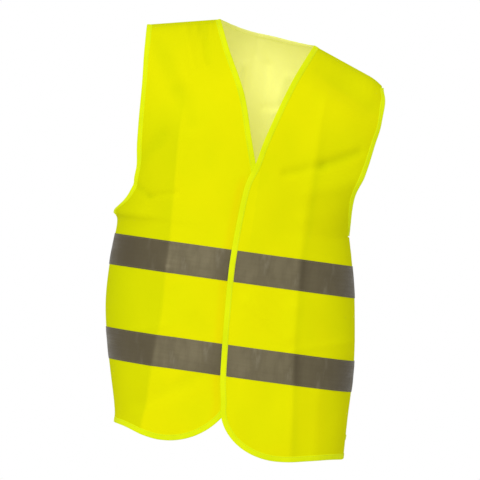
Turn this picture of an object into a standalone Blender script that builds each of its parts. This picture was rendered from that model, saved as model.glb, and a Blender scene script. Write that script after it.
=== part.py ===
"""High visibility vest: two overlapping fronts, one back, bound edges, tapes, seams and closure patches.

Frame: +Z up, the front faces -Y, the wearer's left is +X. The origin lies between the two neck points.
The vest hangs as if worn, leaning a little, so its two sides follow slightly different lines.
"""
import bpy
import numpy as np
from mathutils import Matrix

# driving dimensions, metres
FRONT_DEPTH = 0.135        # mid line to chest
BACK_DEPTH = 0.120         # mid line to back
SECTION_POWER = 2.4        # roundness of the body section
UPPER_HALF_WIDTH = 0.222   # body half width behind the armholes
UPPER_CENTRE = 0.003
UNDERARM_Z = -0.312
CHEST_Z = -0.200           # above here the section no longer widens
FRONT_ROLL = 0.200         # drop over which the front leaves the shoulder
BACK_ROLL = 0.140
FRONT_ROLL_POWER = 0.70
BACK_ROLL_POWER = 0.50
SEAM_HALF_GAP = 0.0016     # front and back stop this far from the seam plane

CLOTH = 0.0010
BINDING_WIDTH = 0.0090
BINDING_THICK = 0.0022
BINDING_GAP = 0.0022       # the panels have fewer facets than the bindings along a curved edge
TAPE_WIDTH = 0.050
TAPE_THICK = 0.0005
TAPE_LIFT = 0.0011         # tape mid plane above the cloth mid plane
TAPE_EDGE_GAP = 0.0010
UPPER_TAPE_Z = -0.378      # tape mid lines at the centre front
LOWER_TAPE_Z = -0.528
SEAM_FIN = 0.0085          # sewn allowance that stands inwards
SEAM_FIN_THICK = 0.0014

OVERLAP_LIFT = 0.0056      # the left front passes this far in front of the right
OVERLAP_FADE = (0.030, 0.100)
HINGE_LEAN = -0.120        # x over z of both side seams
HINGE = {"left": (0.2125, 0.0, -0.480), "right": (-0.1965, 0.0, -0.480)}  # points on the two swing axes
SWING_Z = -0.180           # fronts bend along a line at right angles to the side seams
SWING_GAP = 0.0016
FRONT_COLUMNS = 18
BACK_COLUMNS = 27
ARMHOLE_ROWS = 7
SIDE_ROWS = 12

PATCH_SIZE = (0.018, 0.045)
PATCH_THICK = 0.0011
PATCH_X = {"hook": 0.0178, "loop": 0.0080}
PATCH_LEVELS = {"upper": -0.290, "lower": -0.470}
LABEL_SIZE = (0.040, 0.050)
LABEL_THICK = 0.0006
LABEL_Z = -0.590
LABEL_ANGLE = 30.0

# outlines seen from the front: x and z of the few points each edge needs
NECK = {"left": (0.078, -0.009), "right": (-0.077, 0.012)}
SHOULDER_TIP = {"left": (0.199, -0.055), "right": (-0.193, -0.013)}
FRONT_EDGE = {
    "left": [(0.078, -0.009), (0.049, -0.079), (0.022, -0.167), (0.011, -0.215), (-0.001, -0.255),
             (-0.007, -0.350), (-0.006, -0.420), (0.002, -0.545), (0.010, -0.598)],
    "right": [(-0.077, 0.012), (-0.056, -0.036), (-0.022, -0.105), (-0.002, -0.170), (0.012, -0.215),
              (0.026, -0.265), (0.031, -0.340), (0.031, -0.450), (0.034, -0.555)],
}
HEM_CORNER = {"left": (0.105, -0.6765), "right": (-0.080, -0.668)}
ARMHOLE = {
    "left": [(0.1985, -0.0615), (0.204, -0.095), (0.190, -0.185), (0.1755, -0.240), (0.176, -0.305)],
    "right": [(-0.193, -0.013), (-0.186, -0.120), (-0.180, -0.200), (-0.1795, -0.275), (-0.200, -0.318)],
}
SIDE = {
    "left": [(0.176, -0.305), (0.201, -0.415), (0.213, -0.510), (0.215, -0.600), (0.217, -0.662)],
    "right": [(-0.200, -0.318), (-0.200, -0.400), (-0.194, -0.480), (-0.168, -0.600), (-0.156, -0.654)],
}
TIP_ROUND = 0.026          # the left shoulder ridge falls over this width to a round tip
TIP_FALL = 0.0065
BACK_HEM_RISE = 0.030
BACK_NECK_SAG = 0.003

YELLOW = (0.80, 0.80, 0.01, 1.0)
GREEN_YELLOW = (0.62, 0.75, 0.02, 1.0)
GREY = (0.20, 0.17, 0.12, 1.0)
WHITE = (0.85, 0.85, 0.82, 1.0)


def newMaterial(name, colour, roughness, metallic=0.0):
    material = bpy.data.materials.new(name)
    material.use_nodes = True
    shader = material.node_tree.nodes["Principled BSDF"]
    shader.inputs["Base Color"].default_value = colour
    shader.inputs["Roughness"].default_value = roughness
    shader.inputs["Metallic"].default_value = metallic
    return material


def smoothStep(low, high, value):
    t = np.clip((value - low) / (high - low), 0.0, 1.0)
    return t * t * (3.0 - 2.0 * t)


def resample(points, count):
    """Evenly spaced points along a polyline."""
    points = np.asarray(points, float)
    steps = np.linalg.norm(np.diff(points, axis=0), axis=1)
    run = np.concatenate([[0.0], np.cumsum(steps)])
    wanted = np.linspace(0.0, run[-1], count)
    return np.stack([np.interp(wanted, run, points[:, k]) for k in range(points.shape[1])], axis=1)


def curveThrough(points, per_span=12):
    """A Catmull-Rom curve through the given points."""
    p = np.asarray(points, float)
    p = np.vstack([2.0 * p[0] - p[1], p, 2.0 * p[-1] - p[-2]])
    t = np.linspace(0.0, 1.0, per_span, endpoint=False)[:, None]
    spans = []
    for a, b, c, d in zip(p[:-3], p[1:-2], p[2:-1], p[3:]):
        spans.append(0.5 * (2.0 * b + (c - a) * t + (2.0 * a - 5.0 * b + 4.0 * c - d) * t ** 2
                            + (3.0 * b - a - 3.0 * c + d) * t ** 3))
    spans.append(p[-2][None, :])
    return np.vstack(spans)


def offsetCurve(curve, distance):
    """Moves a plane curve sideways, to the left of its direction for a positive distance."""
    way = np.gradient(curve, axis=0)
    way /= np.linalg.norm(way, axis=1)[:, None]
    return curve + distance * np.stack([-way[:, 1], way[:, 0]], axis=1)


def cutAtSwing(curve, upper):
    """Keeps the part of a curve above or below the line that the fronts bend along."""
    height = curve[:, 1] - SWING_Z + HINGE_LEAN * curve[:, 0]
    limit = SWING_GAP / 2.0
    if not upper:
        height = -height
    keep = height > limit
    first = np.argmax(keep) if not upper else np.argmin(keep)
    a, b = curve[first - 1], curve[first]
    share = (limit - height[first - 1]) / (height[first] - height[first - 1])
    end = a + share * (b - a)
    return np.vstack([curve[:first], end]) if upper else np.vstack([end, curve[first:]])


sideCurve = {side: curveThrough(SIDE[side]) for side in SIDE}


def sideX(side, z):
    curve = sideCurve[side][::-1]
    return np.interp(z, curve[:, 1], curve[:, 0])


def shoulderLine(x):
    """Height of the shoulder ridge over x, carried on across the neck."""
    right = NECK["right"][1] + (x - NECK["right"][0]) * (
        (NECK["right"][1] - SHOULDER_TIP["right"][1]) / (NECK["right"][0] - SHOULDER_TIP["right"][0]))
    left = NECK["left"][1] + (x - NECK["left"][0]) * (
        (NECK["left"][1] - SHOULDER_TIP["left"][1]) / (NECK["left"][0] - SHOULDER_TIP["left"][0]))
    fall = np.clip((x - SHOULDER_TIP["left"][0] + TIP_ROUND) / TIP_ROUND, 0.0, 1.0) ** 2
    return np.minimum(left, right) - TIP_FALL * fall


def bodyY(x, z, front):
    """Depth of the garment: a rounded section that rolls in to the shoulder ridge."""
    low = np.minimum(z, UNDERARM_Z)
    centre_low = (sideX("left", low) + sideX("right", low)) / 2.0
    half_low = (sideX("left", low) - sideX("right", low)) / 2.0
    rise = smoothStep(UNDERARM_Z, CHEST_Z, z)
    centre = centre_low + (UPPER_CENTRE - centre_low) * rise
    half = half_low + (UPPER_HALF_WIDTH - half_low) * rise
    across = np.clip(np.abs(x - centre) / half, 0.0, 1.0)
    section = (1.0 - across ** SECTION_POWER) ** (1.0 / SECTION_POWER)
    depth, roll, power = ((FRONT_DEPTH, FRONT_ROLL, FRONT_ROLL_POWER) if front
                          else (BACK_DEPTH, BACK_ROLL, BACK_ROLL_POWER))
    drop = np.clip((shoulderLine(x) - z) / roll, 0.0, 1.0)
    out = SEAM_HALF_GAP + depth * section * (1.0 - (1.0 - drop) ** 2) ** power
    return -out if front else out


def liftY(x, z, side):
    """The left front stands proud of the right front where they overlap."""
    if side != "left":
        return np.zeros_like(x)
    fade = 1.0 - smoothStep(OVERLAP_FADE[0], OVERLAP_FADE[1], x)
    return -OVERLAP_LIFT * fade * smoothStep(-0.10, -0.20, z)


def surfacePoints(grid, side):
    x, z = grid[..., 0], grid[..., 1]
    y = bodyY(x, z, side != "back")
    if side != "back":
        y = y + liftY(x, z, side)
    return np.stack([x, y, z], axis=-1)


def gridNormals(points):
    du = np.gradient(points, axis=0)
    dv = np.gradient(points, axis=1)
    normal = np.cross(du, dv)
    return normal / np.linalg.norm(normal, axis=-1)[..., None]


def even(columns):
    return np.linspace(0.0, 1.0, columns)


def closerAtEnd(columns):
    """Columns that crowd towards the side seam, where the section turns back."""
    return np.sin(np.pi / 2.0 * even(columns))


def closerAtBothEnds(columns):
    return (1.0 - np.cos(np.pi * even(columns))) / 2.0


def rowsBetween(a, b, shares):
    """A grid of points from curve a across to curve b."""
    share = shares[None, :, None]
    return a[:, None, :] * (1.0 - share) + b[:, None, :] * share


def addSheet(name, points, thickness, material, lift=0.0, outward=None):
    """A grid of points made into a closed sheet of even thickness."""
    if lift:
        normal = gridNormals(points)
        if np.sum(normal * outward) < 0.0:
            normal = -normal
        points = points + lift * normal
    rows, columns = points.shape[:2]
    index = np.arange(rows * columns).reshape(rows, columns)
    faces = np.stack([index[:-1, :-1], index[:-1, 1:], index[1:, 1:], index[1:, :-1]], axis=-1)
    mesh = bpy.data.meshes.new(name)
    mesh.from_pydata(points.reshape(-1, 3).tolist(), [], faces.reshape(-1, 4).tolist())
    mesh.shade_smooth()
    piece = bpy.data.objects.new(name, mesh)
    bpy.context.collection.objects.link(piece)
    mesh.materials.append(material)
    solid = piece.modifiers.new("thickness", "SOLIDIFY")
    solid.thickness = thickness
    solid.offset = 0.0
    solid.use_even_offset = False
    return piece


def addBinding(name, edge, side, material, inward):
    """Edge tape: a strip between the garment's edge and a line one binding width inside it."""
    inner = offsetCurve(edge, inward * BINDING_WIDTH)
    return addSheet(name, surfacePoints(rowsBetween(edge, inner, even(2)), side), BINDING_THICK, material)


def addPivot(name, place):
    pivot = bpy.data.objects.new(name, None)
    pivot.location = place
    bpy.context.collection.objects.link(pivot)
    return pivot


def hangOn(piece, pivot):
    """Parents a piece to an empty on its joint's axis and leaves it where it is."""
    piece.parent = pivot
    piece.matrix_parent_inverse = Matrix.Translation(-pivot.location)


def hemCurve(side):
    """Front edge, round corner and hem as one curve from the neck point to the side seam."""
    front = curveThrough(FRONT_EDGE[side])
    corner_x, corner_z = HEM_CORNER[side]
    x0, z0 = FRONT_EDGE[side][-1]
    angle = np.linspace(0.0, np.pi / 2.0, 12)[1:]
    arc_x = corner_x + (x0 - corner_x) * np.cos(angle)
    arc_z = z0 + (corner_z - z0) * np.sin(angle)
    arc = np.stack([arc_x, arc_z], axis=1)
    end_x, end_z = SIDE[side][-1]
    share = np.linspace(0.0, 1.0, 10)[1:]
    hem_x = corner_x + (end_x - corner_x) * share
    hem_z = corner_z + (end_z - corner_z) * smoothStep(0.0, 1.0, share)
    hem = np.stack([hem_x, hem_z], axis=1)
    return front, arc, hem


def makeFront(side, cloth, binding, tape):
    way = 1.0 if side == "left" else -1.0
    inset = BINDING_WIDTH + BINDING_GAP
    front, arc, hem = hemCurve(side)
    edge = np.vstack([front, arc, hem])
    armhole = curveThrough(ARMHOLE[side])
    inner_edge = offsetCurve(edge, way * inset)
    corner = len(front) + len(arc)
    inner = inner_edge[:corner]
    arm_inner = offsetCurve(armhole, -way * inset)
    side_line = sideCurve[side]
    below = side_line[:, 1] < arm_inner[-1, 1] - 0.004
    above_hem = side_line[:, 1] > inner_edge[-1, 1]
    hem_end = [sideX(side, inner_edge[-1, 1]), inner_edge[-1, 1]]
    side_part = np.vstack([side_line[below & above_hem], hem_end])

    top_inner = resample(cutAtSwing(inner, True), 9)
    top_outer = resample(cutAtSwing(arm_inner, True), 9)
    top_inner[0] = [top_inner[0, 0], shoulderLine(top_inner[0, 0])]
    top_outer[0] = [top_outer[0, 0], shoulderLine(top_outer[0, 0])]
    shoulder = rowsBetween(top_inner, top_outer, even(9))
    to_ridge = shoulderLine(shoulder[0, :, 0]) - shoulder[0, :, 1]
    shoulder[..., 1] += to_ridge[None, :] * (1.0 - even(9))[:, None] ** 3
    addSheet(side + "_front_shoulder", surfacePoints(shoulder, side), CLOTH, cloth)

    low_inner = resample(cutAtSwing(inner, False), ARMHOLE_ROWS + SIDE_ROWS)
    low_armhole = resample(cutAtSwing(arm_inner, False), ARMHOLE_ROWS)
    low_outer = np.vstack([low_armhole, resample(side_part, SIDE_ROWS)])
    shares = closerAtEnd(FRONT_COLUMNS)
    panel = rowsBetween(low_inner, low_outer, shares)
    hem_inner = inner_edge[corner - 1:]
    fine = resample(hem_inner, 200)
    hem_row = fine[np.round(shares * 199).astype(int)]
    hem_row[-1] = hem_end
    pull = even(ARMHOLE_ROWS + SIDE_ROWS)[:, None, None] ** 6
    panel = panel + pull * (hem_row - panel[-1])[None, :, :]
    moving = [addSheet(side + "_front_panel", surfacePoints(panel, side), CLOTH, cloth)]

    neck_edge = resample(cutAtSwing(edge, True), 12)
    front_edge = resample(cutAtSwing(edge, False), 60)
    upper_armhole = resample(cutAtSwing(armhole, True), 10)
    lower_armhole = resample(cutAtSwing(armhole, False), 16)
    addBinding(side + "_neck_binding", neck_edge, side, binding, way)
    moving.append(addBinding(side + "_front_binding", front_edge, side, binding, way))
    addBinding(side + "_armhole_shoulder_binding", upper_armhole, side, binding, -way)
    moving.append(addBinding(side + "_armhole_binding", lower_armhole, side, binding, -way))

    for level, z_mid in (("upper", UPPER_TAPE_Z), ("lower", LOWER_TAPE_Z)):
        z = np.linspace(z_mid + TAPE_WIDTH / 2.0, z_mid - TAPE_WIDTH / 2.0, 3)
        start = np.stack([np.interp(z, front[::-1, 1], front[::-1, 0]) + way * inset, z], axis=1)
        end = np.stack([sideX(side, z), z], axis=1)
        grid = rowsBetween(start, end, shares)
        grid[:, 0, 0] += way * TAPE_EDGE_GAP
        points = surfacePoints(grid, side)
        moving.append(addSheet(side + "_" + level + "_tape", points, TAPE_THICK, tape, TAPE_LIFT,
                               np.array([0.0, -1.0, 0.0])))
    pivot = addPivot(side + "_front_pivot", HINGE[side])
    for piece in moving:
        hangOn(piece, pivot)
    return pivot


def makeBack(cloth, binding, tape):
    inset = BINDING_WIDTH + BINDING_GAP
    curves = {}
    for side, way in (("left", 1.0), ("right", -1.0)):
        armhole = curveThrough(ARMHOLE[side])
        arm_inner = offsetCurve(armhole, -way * inset)
        arm_inner[0, 1] = shoulderLine(arm_inner[0, 0])
        hem_z = SIDE[side][-1][1] + BACK_HEM_RISE + inset
        line = sideCurve[side]
        keep = (line[:, 1] < arm_inner[-1, 1] - 0.004) & (line[:, 1] > hem_z)
        side_part = np.vstack([line[keep], [sideX(side, hem_z), hem_z]])
        curves[side] = np.vstack([resample(arm_inner, 2 * ARMHOLE_ROWS), resample(side_part, SIDE_ROWS)])
        addBinding(side + "_armhole_back_binding", resample(armhole, 26), "back", binding, -way)
    share = np.linspace(0.0, 1.0, 25)
    neck_x = NECK["right"][0] + (NECK["left"][0] - NECK["right"][0]) * share
    neck_z = (NECK["right"][1] + (NECK["left"][1] - NECK["right"][1]) * share
              - BACK_NECK_SAG * 4.0 * share * (1.0 - share))
    neck = np.stack([neck_x, neck_z], axis=1)
    addBinding("back_neck_binding", neck, "back", binding, -1.0)

    shares = closerAtBothEnds(BACK_COLUMNS)
    panel = rowsBetween(curves["right"], curves["left"], shares)
    neck_low = offsetCurve(neck, -inset)
    top = panel[0].copy()
    ridge = shoulderLine(top[:, 0])
    spacing = np.max(np.diff(top[:, 0]))
    inside = (top[:, 0] > neck_low[0, 0] - spacing) & (top[:, 0] < neck_low[-1, 0] + spacing)
    top[:, 1] = np.where(inside, np.interp(top[:, 0], neck_low[:, 0], neck_low[:, 1]), ridge)
    fade = (1.0 - even(2 * ARMHOLE_ROWS + SIDE_ROWS))[:, None, None] ** 3
    panel = panel + fade * (top - panel[0])[None, :, :]
    addSheet("back_panel", surfacePoints(panel, "back"), CLOTH, cloth)

    hem = np.stack([np.linspace(sideX("right", SIDE["right"][-1][1] + BACK_HEM_RISE),
                                sideX("left", SIDE["left"][-1][1] + BACK_HEM_RISE), 40),
                    np.linspace(SIDE["right"][-1][1], SIDE["left"][-1][1], 40) + BACK_HEM_RISE], axis=1)
    addBinding("back_hem_binding", hem, "back", binding, 1.0)

    for level, z_mid in (("upper", UPPER_TAPE_Z), ("lower", LOWER_TAPE_Z)):
        z = np.linspace(z_mid + TAPE_WIDTH / 2.0, z_mid - TAPE_WIDTH / 2.0, 3)
        start = np.stack([sideX("right", z), z], axis=1)
        end = np.stack([sideX("left", z), z], axis=1)
        points = surfacePoints(rowsBetween(start, end, shares), "back")
        addSheet("back_" + level + "_tape", points, TAPE_THICK, tape, TAPE_LIFT, np.array([0.0, 1.0, 0.0]))


def makeSeams(thread):
    """Sewn allowances stand inwards along the sides and under the shoulders."""
    for side, way in (("left", 1.0), ("right", -1.0)):
        line = sideCurve[side]
        low = SIDE[side][-1][1] + BACK_HEM_RISE + BINDING_WIDTH
        z = np.linspace(line[0, 1] - 0.012, low, 16)
        x = sideX(side, z)
        outer = np.stack([x, np.zeros_like(x), z], axis=1)
        inner = outer - np.array([way * SEAM_FIN, 0.0, 0.0])
        addSheet(side + "_side_seam", rowsBetween(outer, inner, even(2)), SEAM_FIN_THICK, thread)
        margin = 0.011
        x = np.linspace(NECK[side][0] + way * margin, SHOULDER_TIP[side][0] - way * margin, 8)
        ridge = np.stack([x, np.zeros_like(x), shoulderLine(x)], axis=1)
        under = ridge - np.array([0.0, 0.0, SEAM_FIN])
        addSheet(side + "_shoulder_seam", rowsBetween(ridge, under, even(2)), SEAM_FIN_THICK, thread)


def makePatches(hook, loop, pivots):
    """Hook patches face inwards on the left front, loop patches face outwards on the right front."""
    middle = (CLOTH + PATCH_THICK) / 2.0 + 0.0003
    for level, z_mid in PATCH_LEVELS.items():
        x = np.linspace(-PATCH_SIZE[0] / 2.0, PATCH_SIZE[0] / 2.0, 4)
        z = np.linspace(z_mid + PATCH_SIZE[1] / 2.0, z_mid - PATCH_SIZE[1] / 2.0, 5)
        grid = np.stack(np.meshgrid(x, z), axis=-1)
        inside = surfacePoints(grid + np.array([PATCH_X["hook"], 0.0]), "left")
        patch = addSheet(level + "_hook_patch", inside, PATCH_THICK, hook, middle, np.array([0.0, 1.0, 0.0]))
        hangOn(patch, pivots["left"])
        outside = surfacePoints(grid + np.array([PATCH_X["loop"], 0.0]), "right")
        patch = addSheet(level + "_loop_patch", outside, PATCH_THICK, loop, middle,
                         np.array([0.0, -1.0, 0.0]))
        hangOn(patch, pivots["right"])


def makeLabel(material):
    """A blank care label sewn in at the left side seam, on a parent empty on that seam."""
    width, height = LABEL_SIZE
    z = np.linspace(height / 2.0, -height / 2.0, 3)
    out = np.linspace(0.0, width, 4)
    turn = np.radians(LABEL_ANGLE)
    grid = np.zeros((3, 4, 3))
    grid[..., 0] = -np.sin(turn) * out[None, :] + HINGE_LEAN * z[:, None]
    grid[..., 1] = np.cos(turn) * out[None, :]
    grid[..., 2] = z[:, None]
    pivot = addPivot("label_pivot", (float(sideX("left", LABEL_Z)) - 0.006, 0.0035, LABEL_Z))
    label = addSheet("care_label", grid, LABEL_THICK, material)
    label.parent = pivot


def main():
    for item in list(bpy.data.objects):
        bpy.data.objects.remove(item, do_unlink=True)
    cloth = newMaterial("fluorescent_cloth", YELLOW, 0.85)
    binding = newMaterial("edge_binding", GREEN_YELLOW, 0.80)
    tape = newMaterial("reflective_tape", GREY, 0.45)
    hook = newMaterial("hook_tape", YELLOW, 0.90)
    loop = newMaterial("loop_tape", YELLOW, 0.95)
    thread = newMaterial("sewn_seam", GREEN_YELLOW, 0.90)
    label = newMaterial("label_satin", WHITE, 0.50)
    makeBack(cloth, binding, tape)
    pivots = {side: makeFront(side, cloth, binding, tape) for side in ("left", "right")}
    makeSeams(thread)
    makePatches(hook, loop, pivots)
    makeLabel(label)


main()
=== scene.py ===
# High visibility vest: cloth, bound edges, reflective tape and trim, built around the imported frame.
import bpy
import bmesh
import math
import numpy as np
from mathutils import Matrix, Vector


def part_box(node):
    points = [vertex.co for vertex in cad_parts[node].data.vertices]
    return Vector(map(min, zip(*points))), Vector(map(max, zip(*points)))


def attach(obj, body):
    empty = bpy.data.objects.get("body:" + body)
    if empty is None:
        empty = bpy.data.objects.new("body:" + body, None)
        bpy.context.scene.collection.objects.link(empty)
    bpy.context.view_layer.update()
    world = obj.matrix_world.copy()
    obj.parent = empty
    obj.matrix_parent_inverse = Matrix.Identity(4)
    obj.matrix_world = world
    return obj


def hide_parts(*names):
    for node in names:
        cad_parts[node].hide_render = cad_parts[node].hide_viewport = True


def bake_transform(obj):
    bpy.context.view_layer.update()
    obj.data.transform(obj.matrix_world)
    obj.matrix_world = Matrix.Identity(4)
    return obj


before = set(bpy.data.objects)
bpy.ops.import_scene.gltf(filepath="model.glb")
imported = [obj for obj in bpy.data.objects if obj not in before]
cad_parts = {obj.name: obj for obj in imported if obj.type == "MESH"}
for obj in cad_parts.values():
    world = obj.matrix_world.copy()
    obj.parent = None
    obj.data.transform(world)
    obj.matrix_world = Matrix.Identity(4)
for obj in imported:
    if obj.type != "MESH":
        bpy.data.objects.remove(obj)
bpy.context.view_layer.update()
print("frame loaded:", len(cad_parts), "nodes")

# the garment's form
form = {
    "frontDepth": 0.135, "backDepth": 0.120, "sectionPower": 2.4,
    "upperHalfWidth": 0.222, "upperCentre": 0.003, "underarm": -0.312, "chest": -0.200,
    "frontRoll": 0.200, "backRoll": 0.140, "frontRollPower": 0.70, "backRollPower": 0.50,
    "seamGap": 0.0004, "overlapLift": 0.0056, "overlapFade": (0.030, 0.100),
    "neck": {"left": (0.078, -0.009), "right": (-0.077, 0.012)},
    "tip": {"left": (0.199, -0.055), "right": (-0.193, -0.013)},
    "backHemRise": 0.030, "backNeckSag": 0.003, "tipRound": 0.026, "tipFall": 0.0065,
}
# x and z of the few points that each edge needs, seen from the front
outline = {
    "frontEdge": {
        "left": [(0.078, -0.009), (0.049, -0.079), (0.022, -0.167), (0.011, -0.215), (-0.001, -0.255),
                 (-0.007, -0.350), (-0.006, -0.420), (0.002, -0.545), (0.010, -0.598)],
        "right": [(-0.077, 0.012), (-0.056, -0.036), (-0.022, -0.105), (-0.002, -0.170), (0.012, -0.215),
                  (0.026, -0.265), (0.031, -0.340), (0.031, -0.450), (0.034, -0.555)]},
    "hemCorner": {"left": (0.105, -0.6765), "right": (-0.080, -0.668)},
    "armhole": {
        "left": [(0.1985, -0.0615), (0.204, -0.095), (0.190, -0.185), (0.1755, -0.240), (0.176, -0.305)],
        "right": [(-0.193, -0.013), (-0.186, -0.120), (-0.180, -0.200), (-0.1795, -0.275),
                  (-0.202, -0.318)]},
    "side": {
        "left": [(0.176, -0.305), (0.190, -0.360), (0.201, -0.415), (0.213, -0.510), (0.215, -0.600),
                 (0.217, -0.662)],
        "right": [(-0.202, -0.318), (-0.196, -0.333), (-0.199, -0.400), (-0.196, -0.470), (-0.180, -0.548),
                  (-0.160, -0.625), (-0.156, -0.654)]},
}


def smoothStep(low, high, value):  # 3 t^2 - 2 t^3, where t is the share of the way from low to high
    t = np.clip((value - low) / (high - low), 0.0, 1.0)
    return t * t * (3.0 - 2.0 * t)


def resample(points, count):  # evenly spaced points along a polyline
    points = np.asarray(points, float)
    run = np.concatenate([[0.0], np.cumsum(np.linalg.norm(np.diff(points, axis=0), axis=1))])
    wanted = np.linspace(0.0, run[-1], count)
    return np.stack([np.interp(wanted, run, points[:, k]) for k in range(points.shape[1])], axis=1)


def curveThrough(points, perSpan=24):
    # Catmull-Rom: cubic spans whose slope at a point is half the chord between its neighbours
    p = np.asarray(points, float)
    p = np.vstack([2.0 * p[0] - p[1], p, 2.0 * p[-1] - p[-2]])
    t = np.linspace(0.0, 1.0, perSpan, endpoint=False)[:, None]
    spans = [0.5 * (2.0 * b + (c - a) * t + (2.0 * a - 5.0 * b + 4.0 * c - d) * t ** 2
                    + (3.0 * b - a - 3.0 * c + d) * t ** 3)
             for a, b, c, d in zip(p[:-3], p[1:-2], p[2:-1], p[3:])]
    return np.vstack(spans + [p[-2][None, :]])


sideCurve = {side: curveThrough(outline["side"][side]) for side in ("left", "right")}


def sideX(side, z):  # where the side seam stands at a height
    curve = sideCurve[side][::-1]
    return np.interp(z, curve[:, 1], curve[:, 0])


def shoulderLine(x):
    # the lower of two straight ridges, carried on across the neck, less a square fall at the left tip
    heights = []
    for side in ("left", "right"):
        (nx, nz), (tx, tz) = form["neck"][side], form["tip"][side]
        heights.append(nz + (x - nx) * (tz - nz) / (tx - nx))
    tipX = form["tip"]["left"][0]
    fall = np.clip((x - tipX + form["tipRound"]) / form["tipRound"], 0.0, 1.0) ** 2
    return np.minimum(*heights) - form["tipFall"] * fall


def bodyY(x, z, front):
    # depth = D (1 - |x/a|^n)^(1/n) times (1 - (1 - drop/roll)^2)^p, so the section rolls in to the shoulder
    low = np.minimum(z, form["underarm"])
    lowCentre = (sideX("left", low) + sideX("right", low)) / 2.0
    lowHalf = (sideX("left", low) - sideX("right", low)) / 2.0
    rise = smoothStep(form["underarm"], form["chest"], z)
    centre = lowCentre + (form["upperCentre"] - lowCentre) * rise
    half = lowHalf + (form["upperHalfWidth"] - lowHalf) * rise
    across = np.clip(np.abs(x - centre) / half, 0.0, 1.0)
    section = (1.0 - across ** form["sectionPower"]) ** (1.0 / form["sectionPower"])
    name = "front" if front else "back"
    drop = np.clip((shoulderLine(x) - z) / form[name + "Roll"], 0.0, 1.0)
    roll = (1.0 - (1.0 - drop) ** 2) ** form[name + "RollPower"]
    out = form["seamGap"] + form[name + "Depth"] * section * roll
    return -out if front else out


# how the cloth hangs
# from, to, half width, height, sharp: ridges are positive, hollows negative
frontFolds = [
    ((-0.114, -0.150), (-0.103, -0.400), 0.020, 0.0042, True),    # ironed fold down the right front
    ((-0.103, -0.400), (-0.109, -0.672), 0.020, 0.0045, True),
    ((0.106, -0.100), (0.097, -0.290), 0.020, 0.0036, True),      # and down the left front
    ((0.097, -0.290), (0.104, -0.430), 0.020, 0.0042, True),
    ((0.104, -0.430), (0.130, -0.680), 0.020, 0.0045, True),
    ((0.160, -0.560), (0.168, -0.660), 0.012, 0.0020, False),
    ((-0.180, -0.270), (-0.150, -0.288), 0.006, -0.0020, False),  # hollow under the right armhole
    ((-0.150, -0.288), (-0.106, -0.276), 0.005, -0.0022, False),
    ((-0.178, -0.240), (-0.140, -0.188), 0.012, -0.0022, False),
    ((-0.200, -0.318), (-0.150, -0.318), 0.014, 0.0040, False),
    ((-0.164, -0.508), (-0.095, -0.487), 0.007, 0.0018, True),    # packing fold across both fronts
    ((0.110, -0.498), (0.212, -0.470), 0.007, 0.0018, True),
    ((-0.173, -0.040), (-0.130, -0.111), 0.014, -0.0030, False),  # pulls from the right shoulder
    ((-0.130, -0.111), (-0.100, -0.165), 0.014, -0.0026, False),
    ((-0.130, -0.010), (-0.108, -0.075), 0.008, 0.0026, False),
    ((-0.104, 0.000), (-0.086, -0.060), 0.007, -0.0024, False),
    ((0.172, -0.172), (0.120, -0.200), 0.009, -0.0042, False),    # drag line from the left armhole
    ((0.120, -0.200), (0.062, -0.222), 0.009, -0.0032, False),
    ((0.180, -0.215), (0.100, -0.245), 0.016, 0.0034, False),
    ((0.095, -0.050), (0.180, -0.095), 0.016, -0.0030, False),    # soft folds under the left shoulder
    ((0.085, -0.085), (0.190, -0.128), 0.016, 0.0026, False),
    ((0.030, -0.430), (0.098, -0.480), 0.011, 0.0030, False),     # drag between the tapes
    ((-0.030, -0.557), (-0.115, -0.617), 0.014, -0.0030, False),
    ((0.060, -0.380), (0.075, -0.398), 0.006, -0.0016, False),
    ((-0.060, -0.455), (-0.085, -0.420), 0.014, 0.0016, False),
]
backFolds = [
    ((0.008, -0.050), (0.014, -0.150), 0.008, 0.0034, False),     # soft creases below the neck
    ((-0.030, -0.055), (-0.024, -0.130), 0.007, -0.0036, False),
    ((0.012, -0.116), (0.058, -0.110), 0.006, 0.0030, False),
    ((0.044, -0.065), (0.032, -0.125), 0.008, -0.0034, False),
    ((0.000, -0.040), (0.004, -0.640), 0.024, 0.0040, True),      # ironed fold down the middle back
    ((-0.110, -0.100), (-0.098, -0.620), 0.022, 0.0038, True),
    ((0.108, -0.110), (0.128, -0.620), 0.022, 0.0038, True),
    ((-0.150, -0.500), (0.190, -0.490), 0.008, 0.0022, True),
    ((-0.165, -0.070), (-0.090, -0.190), 0.018, -0.0036, False),
    ((0.170, -0.100), (0.095, -0.200), 0.018, -0.0036, False),
    ((-0.165, -0.290), (-0.080, -0.330), 0.014, -0.0032, False),
    ((0.160, -0.290), (0.085, -0.335), 0.014, -0.0032, False),
    ((-0.120, -0.440), (-0.040, -0.470), 0.013, 0.0026, False),
    ((0.050, -0.580), (0.160, -0.550), 0.014, -0.0026, False),
]


def foldHeight(x, z, fold):
    # a ridge along a line: its height falls with distance d as exp(-d^2), or exp(-d) with a sharp crest
    (ax, az), (bx, bz), width, height, sharp = fold
    lengthSq = (bx - ax) ** 2 + (bz - az) ** 2
    t = ((x - ax) * (bx - ax) + (z - az) * (bz - az)) / lengthSq
    near = np.clip(t, 0.0, 1.0)
    away = np.hypot(x - ax - near * (bx - ax), z - az - near * (bz - az)) / width
    shape = np.exp(-(np.sqrt(away ** 2 + 0.01) - 0.1)) if sharp else np.exp(-away ** 2)
    return height * shape


def wave(value, length, phase=0.0):  # a sine of this wavelength
    return np.sin(value * 2.0 * np.pi / length + phase)


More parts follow.
